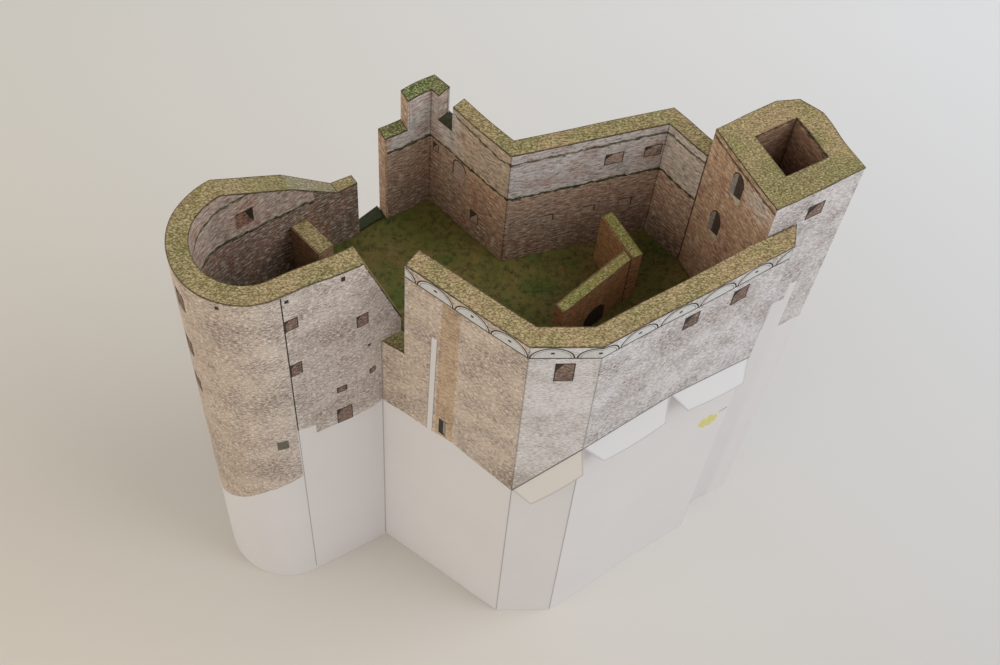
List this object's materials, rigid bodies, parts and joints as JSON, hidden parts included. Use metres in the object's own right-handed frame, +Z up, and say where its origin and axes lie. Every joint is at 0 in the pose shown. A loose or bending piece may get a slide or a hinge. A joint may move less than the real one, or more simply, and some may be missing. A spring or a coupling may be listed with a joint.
{
  "type": "paper model of a ruined castle keep",
  "caption": "Printed card model of a ruined keep: round tower, angled walls round a grassed court, square tower with a shaft, glue tabs and a plain white card skirt.",
  "frame": {"origin": "on the table under the middle of the model's plan", "axes": "+Z up, the short middle front face looks to -Y, the square tower stands towards +X"},
  "size_m": [0.1342, 0.068, 0.1452],
  "materials": {
    "outer_print": "matt card printed with pale stone courses, white below the print",
    "cap_print": "matt card printed with mossy rubble",
    "inner_print": "matt card printed with brown stone courses",
    "grass_print": "matt card printed with dark grass",
    "white_card": "bare white card"
  },
  "bodies": {
    "root": {"back_left_wall": "outer_print", "back_middle_wall": "outer_print", "back_right_wall": "outer_print", "back_wall_cap": "cap_print", "courtyard_floor": "grass_print", "cross_wall": "inner_print", "fin_step_cap": "cap_print", "fin_top_cap": "cap_print", "fin_wall": "outer_print", "flat_wall": "outer_print", "front_left_wall": "outer_print", "front_middle_wall": "outer_print", "front_right_wall": "outer_print", "front_wall_cap": "cap_print", "glue_tab_left": "white_card", "glue_tab_middle": "white_card", "glue_tab_right": "white_card", "low_wall_long": "inner_print", "low_wall_short": "inner_print", "notch_cap": "cap_print", "round_back_cap": "cap_print", "round_back_wall": "outer_print", "round_tower_cap": "cap_print", "round_wall_1": "outer_print", "round_wall_2": "outer_print", "round_wall_3": "outer_print", "round_wall_4": "outer_print", "round_wall_5": "outer_print", "round_wall_6": "outer_print", "shaft_back": "inner_print", "shaft_front": "inner_print", "shaft_left": "inner_print", "shaft_right": "inner_print", "sill_cap": "cap_print", "slope_cap": "cap_print", "threshold_cap": "cap_print", "threshold_wall": "outer_print", "tower_back": "outer_print", "tower_corner": "outer_print", "tower_front": "outer_print", "tower_left": "inner_print", "tower_right": "outer_print", "tower_top": "cap_print"}
  },
  "joints": []
}
